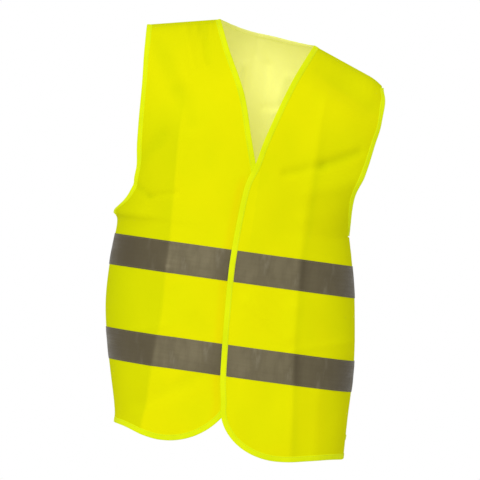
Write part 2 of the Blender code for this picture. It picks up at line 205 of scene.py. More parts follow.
def drape(x, z, front):
    # height off the smooth form: folds, slow swells and puckers added up, then eased to nothing at the seams
    folds = frontFolds if front else backFolds
    total = sum(foldHeight(x, z, fold) for fold in folds)
    # slow swells, a sum of sines whose wavelengths don't share a factor
    total = total + 0.0011 * np.sin(31.0 * x + 9.0 * z + 0.4) * np.sin(17.0 * z + 1.3)
    total = total + 0.0006 * np.sin(67.0 * x - 41.0 * z) + 0.0004 * np.sin(53.0 * z + 88.0 * x + 2.0)
    # short puckers where the cloth is gathered by the shoulder seams and the side seams
    toShoulder = np.clip(shoulderLine(x) - z, 0.0, 1.0)
    gather = 0.0002 + 0.0010 * np.exp(-((x + 0.105) / 0.030) ** 2)
    beat = np.sin(x * 2.0 * np.pi / 0.0135 + 1.6 * np.sin(x * 71.0) + 14.0 * z)
    total = total + gather * np.exp(-toShoulder / 0.020) * beat
    hang = smoothStep(-0.30, -0.36, z)
    toSide = np.minimum(np.abs(x - sideX("left", z)), np.abs(x - sideX("right", z)))
    total = total + 0.0005 * hang * np.exp(-toSide / 0.006) * wave(z, 0.017, 30.0 * x)
    settle = smoothStep(0.0, 0.010, toShoulder)  # the seams themselves stay where they are
    meet = 1.0 - hang * np.exp(-toSide / 0.003)
    return total * settle * meet


def clothFrame(x, z, front, side=None):
    # point and outward normal of the hung cloth; the normal is the gradient of y = f(x, z), by small steps
    def depth(px, pz):
        y = bodyY(px, pz, front)
        if side == "left":
            fade = 1.0 - smoothStep(*form["overlapFade"], px)
            y = y - form["overlapLift"] * fade * smoothStep(-0.10, -0.20, pz)
        return y
    step = 0.0006
    slopeX = (depth(x + step, z) - depth(x - step, z)) / (2.0 * step)
    slopeZ = (depth(x, z + step) - depth(x, z - step)) / (2.0 * step)
    way = -1.0 if front else 1.0
    normal = np.stack([-way * slopeX, way * np.ones_like(x), -way * slopeZ], axis=-1)
    normal /= np.linalg.norm(normal, axis=-1)[..., None]
    point = np.stack([x, depth(x, z), z], axis=-1)
    return point + drape(x, z, front)[..., None] * normal, normal


def offsetCurve(curve, distance):  # moves a plane curve to the left of its direction
    way = np.gradient(curve, axis=0)
    way /= np.maximum(np.linalg.norm(way, axis=1), 1e-9)[:, None]
    normal = np.stack([-way[:, 1], way[:, 0]], axis=1)
    return curve + distance * normal


# meshes
class Pile:  # gathers grids and small solids into one mesh with material numbers and a UV map in metres
    def __init__(self):
        self.points, self.faces, self.slots, self.uvs, self.extra = [], [], [], [], {}
        self.count = 0

    def add(self, points, faces, slot, uv):
        self.points.append(points)
        self.faces.append(faces + self.count)
        self.slots.append(np.full(len(faces), slot))
        self.uvs.append(uv)
        self.count += len(points)

    def build(self, name, materials):
        points = np.vstack(self.points)
        faces = np.vstack(self.faces)
        mesh = bpy.data.meshes.new(name)
        mesh.vertices.add(len(points))
        mesh.vertices.foreach_set("co", points.astype(np.float32).ravel())
        mesh.loops.add(faces.size)
        mesh.loops.foreach_set("vertex_index", faces.astype(np.int32).ravel())
        mesh.polygons.add(len(faces))
        mesh.polygons.foreach_set("loop_start", np.arange(0, faces.size, 4, dtype=np.int32))
        mesh.polygons.foreach_set("material_index", np.concatenate(self.slots).astype(np.int32))
        mesh.update(calc_edges=True)
        layer = mesh.uv_layers.new(name="cut")
        layer.data.foreach_set("uv", np.vstack(self.uvs)[faces.ravel()].astype(np.float32).ravel())
        for mark, parts in self.extra.items():  # stitches come last and have no values of their own
            values = np.concatenate(parts)
            values = np.pad(values, (0, self.count - len(values)))
            attribute = mesh.attributes.new(mark, "FLOAT", "POINT")
            attribute.data.foreach_set("value", values.astype(np.float32))
        turnOutwards(mesh)
        mesh.shade_smooth()
        mesh.set_sharp_from_angle(angle=math.radians(50.0))
        for material in materials:
            mesh.materials.append(material)
        piece = bpy.data.objects.new(name, mesh)
        bpy.context.collection.objects.link(piece)
        return piece


def turnOutwards(mesh):  # every shell is closed, so its faces can be made to point out
    work = bmesh.new()
    work.from_mesh(mesh)
    bmesh.ops.recalc_face_normals(work, faces=work.faces)
    work.to_mesh(mesh)
    work.free()


def gridUv(points):  # distance walked along the rows and columns, so the weave keeps its size
    across = np.linalg.norm(np.diff(points, axis=1), axis=-1)
    along = np.linalg.norm(np.diff(points, axis=0), axis=-1)
    u = np.concatenate([np.zeros((points.shape[0], 1)), np.cumsum(across, axis=1)], axis=1)
    v = np.concatenate([np.zeros((1, points.shape[1])), np.cumsum(along, axis=0)], axis=0)
    return np.stack([u, v], axis=-1)


def quadGrid(rows, columns):
    index = np.arange(rows * columns).reshape(rows, columns)
    corners = [index[:-1, :-1], index[:-1, 1:], index[1:, 1:], index[1:, :-1]]
    return np.stack(corners, axis=-1).reshape(-1, 4)


def addSheet(pile, points, normal, thick, outerSlot=0, innerSlot=0, extra=None):
    # a closed cloth: the grid moved half a thickness each way along its normals, with a rim round it
    rows, columns = points.shape[:2]
    size = rows * columns
    uv = gridUv(points).reshape(-1, 2)
    both = np.vstack([(points + normal * thick / 2.0).reshape(-1, 3),
                      (points - normal * thick / 2.0).reshape(-1, 3)])
    face = quadGrid(rows, columns)
    inner = face[:, ::-1] + size
    index = np.arange(size).reshape(rows, columns)
    ring = np.concatenate([index[0, :-1], index[:-1, -1], index[-1, :0:-1], index[:0:-1, 0]])
    after = np.roll(ring, -1)
    rim = np.stack([ring, ring + size, after + size, after], axis=1)
    start = pile.count
    pile.add(both, face, outerSlot, np.vstack([uv, uv]))
    pile.faces.append(inner + start)
    pile.slots.append(np.full(len(inner), innerSlot))
    pile.faces.append(rim + start)
    pile.slots.append(np.full(len(rim), outerSlot))
    for mark, values in (extra or {}).items():
        pile.extra.setdefault(mark, []).append(np.concatenate([values.ravel(), values.ravel()]))


def addStitches(pile, path, normal, slot, length=0.0028, gap=0.0010, radius=0.00028):
    # a row of small spindles: four sides, thickest in the middle, each laid along its piece of the path
    run = np.concatenate([[0.0], np.cumsum(np.linalg.norm(np.diff(path, axis=0), axis=1))])
    count = max(1, int(run[-1] / (length + gap)))
    start = (np.arange(count) + 0.5) * run[-1] / count - length / 2.0
    at = start[:, None] + length * np.array([0.0, 0.18, 0.5, 0.82, 1.0])[None, :]
    centre = np.stack([np.interp(at, run, path[:, k]) for k in range(3)], axis=-1)
    up = np.stack([np.interp(at, run, normal[:, k]) for k in range(3)], axis=-1)
    along = centre[:, -1:] - centre[:, :1]
    along = along / np.linalg.norm(along, axis=-1)[..., None]
    sideways = np.cross(up, along)
    size = radius * np.array([0.35, 0.9, 1.0, 0.9, 0.35])[None, :, None]
    rings = np.stack([centre + size * sideways, centre + size * 0.8 * up, centre - size * sideways,
                      centre - size * 0.8 * up], axis=2)
    base = (np.arange(count) * 20)[:, None]
    walls = np.array([[r * 4 + s, r * 4 + (s + 1) % 4, r * 4 + 4 + (s + 1) % 4, r * 4 + 4 + s]
                      for r in range(4) for s in range(4)] + [[3, 2, 1, 0], [16, 17, 18, 19]])
    faces = (base[:, :, None] + walls[None]).reshape(-1, 4)
    points = rings.reshape(-1, 3)
    uv = np.stack([np.tile(np.repeat(at[0] - at[0, 0], 4), count), np.zeros(len(points))], axis=1)
    pile.add(points, faces, slot, uv)


# shader maths
class Wire:  # a socket that can be added, multiplied and so on; each sum adds its Math node
    def __init__(self, tree, socket):
        self.tree, self.socket = tree, socket

    def node(self, kind, settings=None, inputs=None):
        made = self.tree.nodes.new(kind)
        for key, value in (settings or {}).items():
            setattr(made, key, value)
        for key, value in (inputs or {}).items():
            if isinstance(value, Wire):
                self.tree.links.new(value.socket, made.inputs[key])
            else:
                made.inputs[key].default_value = value
        return made

    def out(self, kind, settings=None, inputs=None, output=0):
        return Wire(self.tree, self.node(kind, settings, inputs).outputs[output])

    def maths(self, operation, a, b=0.0):
        return self.out("ShaderNodeMath", {"operation": operation}, {0: a, 1: b})

    def __add__(self, other):
        return self.maths("ADD", self, other)

    def __radd__(self, other):
        return self.maths("ADD", other, self)

    def __sub__(self, other):
        return self.maths("SUBTRACT", self, other)

    def __rsub__(self, other):
        return self.maths("SUBTRACT", other, self)

    def __mul__(self, other):
        return self.maths("MULTIPLY", self, other)

    def __rmul__(self, other):
        return self.maths("MULTIPLY", other, self)

    def sine(self):
        return self.maths("SINE", self)

    def size(self):
        return self.maths("ABSOLUTE", self)

    def lines(self, spacing):  # a sine between 0 and 1
        return (self * (2.0 * math.pi / spacing)).sine() * 0.5 + 0.5

    def span(self, low, high, toLow=0.0, toHigh=1.0):  # eased from one range to another
        return self.out("ShaderNodeMapRange", {"interpolation_type": "SMOOTHSTEP"},
                        {"Value": self, "From Min": low, "From Max": high,
                         "To Min": toLow, "To Max": toHigh})

    def tint(self, first, second):  # first colour where this is 0, second where it is 1
        mix = self.node("ShaderNodeMix", {"data_type": "RGBA"}, {0: self, 6: first, 7: second})
        return Wire(self.tree, mix.outputs[2])


def newMaterial(name, fixed):
    material = bpy.data.materials.new(name)
    material.use_nodes = True
    tree = material.node_tree
    shader = tree.nodes["Principled BSDF"]
    for key, value in fixed.items():
        shader.inputs[key].default_value = value
    return material, shader, Wire(tree, None)


def feed(shader, wires):  # links each wire to the shader's input of that name
    for key, wire in wires.items():
        wire.tree.links.new(wire.socket, shader.inputs[key])


def cutUv(start):  # the cut cloth's own coordinates in metres
    return start.out("ShaderNodeUVMap", {"uv_map": "cut"})


def splitUv(start):  # the same coordinates as two wires
    split = start.node("ShaderNodeSeparateXYZ", None, {0: cutUv(start)})
    return Wire(start.tree, split.outputs[0]), Wire(start.tree, split.outputs[1])


def noise(start, scale, detail=2.0, rough=0.5, vector=None):
    vector = vector or start.out("ShaderNodeTexCoord", output=3)
    return start.out("ShaderNodeTexNoise", None, {"Vector": vector, "Scale": scale, "Detail": detail,
                                                  "Roughness": rough})


def applyBump(shader, height, distance, strength):
    bump = height.out("ShaderNodeBump", None,
                      {"Height": height, "Distance": distance, "Strength": strength})
    feed(shader, {"Normal": bump})


# glow and insideGlow are painted light: emission standing in for the fluorescence, and inside also for light
# through the thin cloth
clothLook = {
    "bright": (0.750, 0.728, 0.001, 1.0), "green": (0.655, 0.705, 0.001, 1.0),
    "shaded": (0.490, 0.560, 0.001, 1.0), "overlapShade": (0.752, 0.640, 0.001, 1.0),
    "insideBright": (0.850, 0.840, 0.290, 1.0), "insideShaded": (0.620, 0.640, 0.170, 1.0),
    "wale": 0.0011, "course": 0.0008, "glow": 0.16, "insideGlow": 0.248,
}


def clothMaterial(name, inside):
    # knit height = |sin(u + sin(v))| and |sin(v)| added: columns of loops, waved and crossed by rows;
    # the colour drifts with two sizes of noise, and painted shade darkens it along the folds, in hollows and
    # in the knit's grooves
    look = clothLook
    material, shader, start = newMaterial(name, {
        "Specular IOR Level": 0.01, "Sheen Weight": 0.08, "Sheen Roughness": 0.6,
        "Sheen Tint": (0.85, 0.85, 0.01, 1.0),
        "Emission Strength": look["insideGlow" if inside else "glow"]})
    u, v = splitUv(start)
    sway = (v * (2.0 * math.pi / look["course"])).sine() * 0.6
    loops = (u * (math.pi / look["wale"]) + sway).sine().size()
    rows = (v * (math.pi / look["course"])).sine().size()
    knit = loops * 0.65 + rows * 0.35
    broad = noise(start, 7.0, 2.0)
    fine = noise(start, 60.0, 3.0)
    shade = start.out("ShaderNodeAttribute", {"attribute_name": "shade"}, output=2)
    overlapShade = start.out("ShaderNodeAttribute", {"attribute_name": "overlapShade"}, output=2)
    if inside:
        drift = broad.span(0.3, 0.7) * 0.35 + shade * 0.9
        colour = drift.tint(look["insideBright"], look["insideShaded"])
    else:
        drift = broad.span(0.35, 0.70) * 0.35 + fine.span(0.4, 0.8) * 0.10
        colour = drift.tint(look["bright"], look["green"])
        colour = shade.tint(colour, look["shaded"])
        # a warmer painted shade beside the overlapping edge
        colour = overlapShade.tint(colour, look["overlapShade"])
    # painted shade in the knit's grooves: up to a tenth of the way to the shaded colour where the knit is
    # low
    colour = knit.span(0.0, 0.5, 0.10, 0.0).tint(colour, look["insideShaded" if inside else "shaded"])
    feed(shader, {"Base Color": colour, "Emission Color": colour,
                  "Roughness": fine.span(0.3, 0.7, 0.80, 0.95)})
    applyBump(shader, knit + fine * 0.4, 0.00022, 0.55)
    return material


# glow is painted light: emission standing in for the fluorescence
bindingLook = {"bright": (0.740, 0.830, 0.003, 1.0), "green": (0.600, 0.720, 0.002, 1.0),
               "rib": 0.0010, "weft": 0.0008, "glow": 0.14}


def bindingMaterial():
    # woven edge tape: ribs across the run, height sin(v), finer weft lines sin(u), and a slow colour drift
    look = bindingLook
    material, shader, start = newMaterial("edgeBinding", {
        "Specular IOR Level": 0.06, "Sheen Weight": 0.08, "Sheen Tint": (0.8, 0.85, 0.05, 1.0),
        "Emission Strength": look["glow"]})
    u, v = splitUv(start)
    ribs = v.lines(look["rib"])
    weft = u.lines(look["weft"])
    drift = noise(start, 25.0, 3.0)
    colour = (drift.span(0.35, 0.75) * 0.5 + ribs * 0.15).tint(look["bright"], look["green"])
    feed(shader, {"Base Color": colour, "Emission Color": colour,
                  "Roughness": ribs.span(0.0, 1.0, 0.70, 0.88)})
    applyBump(shader, ribs * 0.7 + weft * 0.3, 0.00018, 0.7)
    return material


tapeLook = {"grey": (0.200, 0.170, 0.096, 1.0), "dark": (0.098, 0.078, 0.041, 1.0),
            "pale": (0.300, 0.268, 0.180, 1.0), "bead": 2600.0}


def tapeMaterial():
    # glass bead tape: a field of tiny round beads, long brushed streaks, and creases painted on in shade and
    # highlight
    look = tapeLook
    material, shader, start = newMaterial("reflectiveTape", {
        "Specular IOR Level": 0.25, "Sheen Weight": 0.10, "Sheen Roughness": 0.4})
    uv = cutUv(start)
    beads = start.out("ShaderNodeTexVoronoi", {"feature": "F1"}, {"Vector": uv, "Scale": look["bead"]})
    stretched = start.out("ShaderNodeVectorMath", {"operation": "MULTIPLY"}, {0: uv, 1: (9.0, 160.0, 1.0)})
    streaks = noise(start, 1.0, 3.0, 0.6, stretched)
    crease = start.out("ShaderNodeVectorMath", {"operation": "MULTIPLY"}, {0: uv, 1: (34.0, 11.0, 1.0)})
    creaseNoise = noise(start, 1.0, 4.0, 0.55, crease)
    shade = start.out("ShaderNodeAttribute", {"attribute_name": "shade"}, output=2)
    # darker with the brushed streaks and with painted crease shade; paler on the crease noise's peaks, a
    # painted highlight
    streaksAndCreaseShade = streaks.span(0.3, 0.7) * 0.12 + creaseNoise.span(0.40, 0.58) * 0.32
    colour = streaksAndCreaseShade.tint(look["grey"], look["dark"])
    colour = (creaseNoise.span(0.53, 0.68) * 0.60).tint(colour, look["pale"])
    colour = shade.tint(colour, look["dark"])
    feed(shader, {"Base Color": colour, "Roughness": streaks.span(0.3, 0.8, 0.38, 0.58),
                  "Metallic": creaseNoise.span(0.4, 0.9, 0.30, 0.12)})
    applyBump(shader, beads * 0.6 + creaseNoise * 0.8 + streaks * 0.3, 0.00030, 0.6)
    return material


def threadMaterial(name, light, deep, glow):
    # twisted thread: height sin(x + z), so that the strands lie on a slant, with small changes of colour
    # glow is painted light: emission standing in for the fluorescence
    material, shader, start = newMaterial(name, {"Specular IOR Level": 0.2, "Emission Strength": glow})
    place = start.out("ShaderNodeTexCoord", output=3)
    split = start.node("ShaderNodeSeparateXYZ", None, {0: place})
    slant = Wire(start.tree, split.outputs[0]) + Wire(start.tree, split.outputs[2])
    twist = slant.lines(0.0007)
    drift = noise(start, 90.0, 2.0)
    colour = (twist * 0.4 + drift * 0.3).tint(light, deep)
    feed(shader, {"Base Color": colour, "Emission Color": colour,
                  "Roughness": drift.span(0.3, 0.7, 0.5, 0.7)})
    applyBump(shader, twist, 0.0001, 0.6)
    return material


def patchMaterial(name, cellScale, depth, base, deep):
    # hook or loop pile: round cells raised in rows and broken up by noise
    # the faint emission is painted light
    material, shader, start = newMaterial(name, {"Specular IOR Level": 0.15, "Emission Strength": 0.05})
    cells = start.out("ShaderNodeTexVoronoi", {"feature": "F1"},
                      {"Vector": cutUv(start), "Scale": cellScale})
    fuzz = noise(start, 900.0, 4.0, 0.7)
    # painted shade in the gaps between the raised cells, with random fuzz
    colour = (cells.span(0.1, 0.6) * 0.7 + fuzz * 0.3).tint(base, deep)
    feed(shader, {"Base Color": colour, "Emission Color": colour,
                  "Roughness": fuzz.span(0.3, 0.7, 0.7, 0.95)})
    applyBump(shader, (1.0 - cells) * 0.7 + fuzz * 0.3, depth, 0.9)
    return material


labelLook = {"white": (0.84, 0.84, 0.80, 1.0), "yellowed": (0.72, 0.72, 0.62, 1.0), "weft": 0.0005}


def labelMaterial():
    # satin ribbon: fine weft lines sin(v), a soft sheen and a slow yellowing by noise
    look = labelLook
    material, shader, start = newMaterial("labelSatin", {"Specular IOR Level": 0.35, "Sheen Weight": 0.2})
    weft = splitUv(start)[1].lines(look["weft"])
    drift = noise(start, 80.0, 3.0)
    colour = (drift.span(0.3, 0.8) * 0.4 + weft * 0.1).tint(look["white"], look["yellowed"])
    feed(shader, {"Base Color": colour, "Roughness": drift.span(0.3, 0.7, 0.35, 0.5)})
    applyBump(shader, weft, 0.00008, 0.5)
    return material


outsideCloth = clothMaterial("fluorescentKnit", False)
insideCloth = clothMaterial("fluorescentKnitInside", True)
bindingFinish = bindingMaterial()
tapeFinish = tapeMaterial()
threadFinish = threadMaterial("yellowThread", (0.70, 0.76, 0.02, 1.0), (0.44, 0.50, 0.01, 1.0), 0.08)
greyThreadFinish = threadMaterial("greyThread", (0.26, 0.23, 0.13, 1.0), (0.15, 0.13, 0.07, 1.0), 0.0)
hookFinish = patchMaterial("hookTape", 900.0, 0.0006, (0.76, 0.80, 0.06, 1.0), (0.52, 0.57, 0.03, 1.0))
loopFinish = patchMaterial("loopTape", 500.0, 0.0004, (0.80, 0.82, 0.08, 1.0), (0.60, 0.64, 0.04, 1.0))
labelFinish = labelMaterial()
print("materials made")


def follow(piece, side, nodes, bends=True):
    if side == "back":
        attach(piece, "vest_body")
    elif bends:
        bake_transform(piece)
    else:
        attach(piece, side + "_front")
    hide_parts(*nodes)
    return piece


def shadeOf(x, z, front, onTape=False):
    # darker outboard of the ironed folds, near the shoulders and in hollows: a sum of steps and exp(-d^2)
    # lines, stronger on the tapes
    right = x < 0.02
    creaseX = np.where(right, np.interp(z, [-0.66, -0.48, -0.35, -0.19], [-0.108, -0.101, -0.104, -0.114]),
                       np.interp(z, [-0.66, -0.50, -0.35, -0.14], [0.130, 0.111, 0.102, 0.106]))
    outboard = np.where(right, creaseX - x, x - creaseX)
    step = smoothStep(-0.002, 0.004, outboard)
    far = smoothStep(0.03, 0.10, outboard)
    line = np.exp(-((outboard - 0.005) / 0.006) ** 2)
    if onTape:
        # painted shadow of the overlapping edge, on the tape beside it
        edgeShadow = 0.40 * np.exp(-((x - edgeX("left", z) + 0.004) / 0.016) ** 2)
        dark = np.where(right, 0.72 * step + 0.18 * far + edgeShadow, 0.42 * step + 0.35 * far + 0.38 * line)
    else:
        dark = np.where(right, 0.40 * step + 0.25 * far, 0.12 * step + 0.24 * far + 0.12 * line)
        dark = dark + np.where(right, 0.0, 0.12) * smoothStep(-0.48, -0.25, z)
    dark = dark * smoothStep(-0.10, -0.22, z)
    hollow = np.clip(-drape(x, z, front) * (60.0 if front else 130.0), 0.0, 0.35)
    below = np.clip(shoulderLine(x) - z, 0.0, 1.0)
    shoulder = (0.26 * np.exp(-below / 0.045) + 0.45 * np.exp(-below / 0.006)) * front
    return np.clip(dark + hollow + shoulder, 0.0, 1.0)


def overlapShadeOf(x, z, side):
    # painted shade beside the overlapping edge, in a warmer tone, as exp(-d^2) of the distance to it
    if side != "right":
        return np.zeros_like(x)
    edge = edgeX("left", z)
    strip = np.exp(-((x - edge + 0.006) / 0.0075) ** 2)
    return 0.60 * strip * smoothStep(-0.225, -0.25, z)


frontCurve = {side: curveThrough(outline["frontEdge"][side]) for side in ("left", "right")}


def edgeX(side, z):  # where the front edge stands at a height
    curve = frontCurve[side][::-1]
    return np.interp(z, curve[:, 1], curve[:, 0])


def edgeCurves(side):  # front edge, hem corner as a quarter ellipse, and the eased hem to the side seam
    front = frontCurve[side]
    cornerX, cornerZ = outline["hemCorner"][side]
    startX, startZ = outline["frontEdge"][side][-1]
    angle = np.linspace(0.0, np.pi / 2.0, 40)[1:]
    arc = np.stack([cornerX + (startX - cornerX) * np.cos(angle),
                    startZ + (cornerZ - startZ) * np.sin(angle)], axis=1)
    endX, endZ = outline["side"][side][-1]
    share = np.linspace(0.0, 1.0, 30)[1:]
    hem = np.stack([cornerX + (endX - cornerX) * share,
                    cornerZ + (endZ - cornerZ) * smoothStep(0.0, 1.0, share)], axis=1)
    return front, arc, hem


# cloth panels
cloth = {"thick": 0.0008, "inset": 0.0030, "armholeRows": 90, "sideRows": 105, "frontColumns": 120,
         "backColumns": 190, "underarmGap": 0.003, "hemSamples": 1000}


def crowdEnd(columns):  # sin: columns crowd towards the side seam, where the section turns back
    return np.sin(np.pi / 2.0 * np.linspace(0.0, 1.0, columns))


def crowdBoth(columns):  # 1 - cos: they crowd towards both sides
    return (1.0 - np.cos(np.pi * np.linspace(0.0, 1.0, columns))) / 2.0


def between(a, b, shares):  # a straight row from each point of a to the same one of b
    share = shares[None, :, None]
    return a[:, None, :] * (1.0 - share) + b[:, None, :] * share


def sideRun(side, topZ, bottomZ, count):  # the side seam's line between two heights
    z = np.linspace(topZ, bottomZ, count)
    return np.stack([sideX(side, z), z], axis=1)


def panelPiece(name, grid, front, side):
    x, z = grid[..., 0], grid[..., 1]
    point, normal = clothFrame(x, z, front, side)
    pile = Pile()
    marks = {"shade": shadeOf(x, z, front), "overlapShade": overlapShadeOf(x, z, side)}
    addSheet(pile, point, normal, cloth["thick"], 0, 1, marks)
    return pile.build(name, [outsideCloth, insideCloth])


def frontPanel(side):
    # rows run from the front edge to the armhole or side seam, and the last rows settle on to the hem
    way = 1.0 if side == "left" else -1.0
    front, arc, hem = edgeCurves(side)
    edge = offsetCurve(np.vstack([front, arc, hem]), way * cloth["inset"])
    corner = len(front) + len(arc)
    inner, hemLine = edge[:corner], edge[corner - 1:]
    arm = offsetCurve(curveThrough(outline["armhole"][side]), -way * cloth["inset"])
    inner[0, 1] = shoulderLine(inner[0, 0])
    arm[0, 1] = shoulderLine(arm[0, 0])
    armZ = arm[-1, 1]
    upper = inner[inner[:, 1] > armZ]
    lower = inner[inner[:, 1] <= armZ]
    rowsA, rowsB = cloth["armholeRows"], cloth["sideRows"]
    innerRows = np.vstack([resample(np.vstack([upper, lower[:1]]), rowsA), resample(lower, rowsB + 1)[1:]])
    sideLine = sideRun(side, armZ - cloth["underarmGap"], hemLine[-1, 1], rowsB)
    outerRows = np.vstack([resample(arm, rowsA), sideLine])
    shares = crowdEnd(cloth["frontColumns"])
    grid = between(innerRows, outerRows, shares)
    toRidge = shoulderLine(grid[0, :, 0]) - grid[0, :, 1]
    grid[:rowsA, :, 1] += toRidge[None, :] * (1.0 - np.linspace(0.0, 1.0, rowsA))[:, None] ** 3
    fine = resample(hemLine, cloth["hemSamples"])
    hemRow = fine[np.round(shares * (cloth["hemSamples"] - 1)).astype(int)]
    hemRow[-1, 0] = sideX(side, hemRow[-1, 1])
    pull = np.clip((np.arange(rowsA + rowsB) - rowsA) / (rowsB - 1.0), 0.0, 1.0)[:, None, None] ** 6
    grid = grid + pull * (hemRow - grid[-1])[None]
    piece = panelPiece(side + "FrontCloth", grid, True, side)
    return follow(piece, side, [side + "_front_panel", side + "_front_shoulder"])


def neckCurve(count):  # a shallow parabola between the two neck points
    share = np.linspace(0.0, 1.0, count)
    (rx, rz), (lx, lz) = form["neck"]["right"], form["neck"]["left"]
    sag = form["backNeckSag"] * 4.0 * share * (1.0 - share)
    return np.stack([rx + (lx - rx) * share, rz + (lz - rz) * share - sag], axis=1)


def backHemZ(side):
    return outline["side"][side][-1][1] + form["backHemRise"]


def backPanel():
    # rows run from side to side, and the first rows settle on to the neck and shoulders
    rowsA, rowsB = cloth["armholeRows"], cloth["sideRows"]
    edges = {}
    for side, way in (("left", 1.0), ("right", -1.0)):
        arm = offsetCurve(curveThrough(outline["armhole"][side]), -way * cloth["inset"])
        arm[0, 1] = shoulderLine(arm[0, 0])
        low = backHemZ(side) + cloth["inset"]
        sideLine = sideRun(side, arm[-1, 1] - cloth["underarmGap"], low, rowsB)
        edges[side] = np.vstack([resample(arm, rowsA), sideLine])
    grid = between(edges["right"], edges["left"], crowdBoth(cloth["backColumns"]))
    neck = offsetCurve(neckCurve(60), -cloth["inset"])
    top = grid[0].copy()
    inside = (top[:, 0] > neck[0, 0]) & (top[:, 0] < neck[-1, 0])
    top[:, 1] = np.where(inside, np.interp(top[:, 0], neck[:, 0], neck[:, 1]), shoulderLine(top[:, 0]))
    fade = (1.0 - np.linspace(0.0, 1.0, rowsA + rowsB))[:, None, None] ** 3
    grid = grid + fade * (top - grid[0])[None]
    return follow(panelPiece("backCloth", grid, False, "back"), "back", ["back_panel"])


# edge bindings
binding = {"width": 0.0092, "half": 0.00115, "step": 0.0030, "stitchIn": 0.0016, "leastFacing": 0.35}


def bindingPiece(name, edge, inward, side, nodes, paleInside=False):
    # a folded tape: a flat loop of profile points carried along the edge, with its width laid on the cloth:
    # in plan that is the width divided by sqrt(1 + slope^2)
    front = side != "back"
    frameSide = side if front else None
    length = np.linalg.norm(np.diff(edge, axis=0), axis=1).sum()
    edge = resample(edge, max(12, int(length / binding["step"])))
    way = np.gradient(edge, axis=0)
    way /= np.linalg.norm(way, axis=1)[:, None]
    turn = inward * np.stack([-way[:, 1], way[:, 0]], axis=1)
    middle = edge + turn * binding["width"] / 2.0
    _, normal = clothFrame(middle[:, 0], middle[:, 1], front, frameSide)
    facing, least = normal[:, 1], binding["leastFacing"]
    facing = np.where(np.abs(facing) < least, least * np.sign(facing + 1e-9), facing)
    climb = -(normal[:, 0] * turn[:, 0] + normal[:, 2] * turn[:, 1]) / facing
    squeeze = 1.0 / np.sqrt(1.0 + climb ** 2)
    width, half = binding["width"], binding["half"]
    share = np.array([1.0, 0.97, 0.88, 0.70, 0.50, 0.30, 0.14, 0.04, -0.02])
    puff = np.array([0.55, 0.88, 0.95, 1.0, 1.0, 1.0, 0.98, 0.75, 0.30])
    inwards = np.concatenate([share, share[::-1]]) * width
    outwards = np.concatenate([puff, -puff[::-1]]) * half
    x = edge[:, 0][:, None] + (turn[:, 0] * squeeze)[:, None] * inwards[None, :]
    z = edge[:, 1][:, None] + (turn[:, 1] * squeeze)[:, None] * inwards[None, :]
    point, normals = clothFrame(x, z, front, frameSide)
    run = np.arange(len(edge)) * binding["step"]
    ripple = 1.0 + 0.07 * wave(run, 0.011) + 0.05 * wave(run, 0.0047, 1.0)
    loop = point + normals * (outwards[None, :] * ripple[:, None])[..., None]
    rows, columns = loop.shape[:2]
    index = np.arange(rows * columns).reshape(rows, columns)
    after = np.roll(index, -1, axis=1)
    walls = np.stack([index[:-1], after[:-1], after[1:], index[1:]], axis=-1).reshape(-1, 4)
    halfway = columns // 2
    caps = [[row[i], row[i + 1], row[columns - 2 - i], row[columns - 1 - i]]
            for row in (index[0], index[-1]) for i in range(halfway - 1)]
    uv = np.stack([np.broadcast_to(inwards[None, :] * np.sign(outwards)[None, :], (rows, columns)),
                   np.broadcast_to(run[:, None], (rows, columns))], axis=-1).reshape(-1, 2)
    pile = Pile()
    inner = paleInside & (np.arange(columns) >= halfway)
    pile.add(loop.reshape(-1, 3), np.vstack([walls, np.array(caps)]), 0, uv)
    pile.slots[-1][:len(walls)] = np.tile(np.where(inner, 2, 0), rows - 1)
    near = 1.0 - binding["stitchIn"] / width
    sx = edge[:, 0] + turn[:, 0] * squeeze * width * near
    sz = edge[:, 1] + turn[:, 1] * squeeze * width * near
    stitchPoint, stitchNormal = clothFrame(sx, sz, front, frameSide)
    for face in (1.0, -1.0):
        addStitches(pile, stitchPoint + face * stitchNormal * half * 0.98, face * stitchNormal, 1)
    piece = pile.build(name, [bindingFinish, threadFinish, insideCloth])
    return follow(piece, side, nodes)


def makeBindings():
    made = {"left": [], "right": [], "back": []}
    for side, way in (("left", 1.0), ("right", -1.0)):
        edge = np.vstack(edgeCurves(side))
        made[side].append(bindingPiece(side + "FrontBinding", edge, way, side,
                                       [side + "_neck_binding", side + "_front_binding"]))
        armhole = curveThrough(outline["armhole"][side])
        made[side].append(bindingPiece(side + "ArmholeFrontBinding", armhole, -way, side,
                                       [side + "_armhole_binding", side + "_armhole_shoulder_binding"]))
        made["back"].append(bindingPiece(side + "ArmholeBackBinding", armhole, -way, "back",
                                         [side + "_armhole_back_binding"]))
    made["back"].append(bindingPiece("backNeckBinding", neckCurve(60), -1.0, "back", ["back_neck_binding"],
                                     paleInside=True))
    x = np.linspace(sideX("right", backHemZ("right")), sideX("left", backHemZ("left")), 120)
    hem = np.stack([x, np.linspace(backHemZ("right"), backHemZ("left"), 120)], axis=1)
    made["back"].append(bindingPiece("backHemBinding", hem, 1.0, "back", ["back_hem_binding"]))
    return made


# reflective tapes
tape = {"width": 0.050, "thick": 0.0005, "lift": 0.0008, "upper": -0.378, "lower": -0.528,
        "rows": 15, "frontColumns": 120, "backColumns": 220, "stitchIn": 0.0022, "stitchPoints": 400}


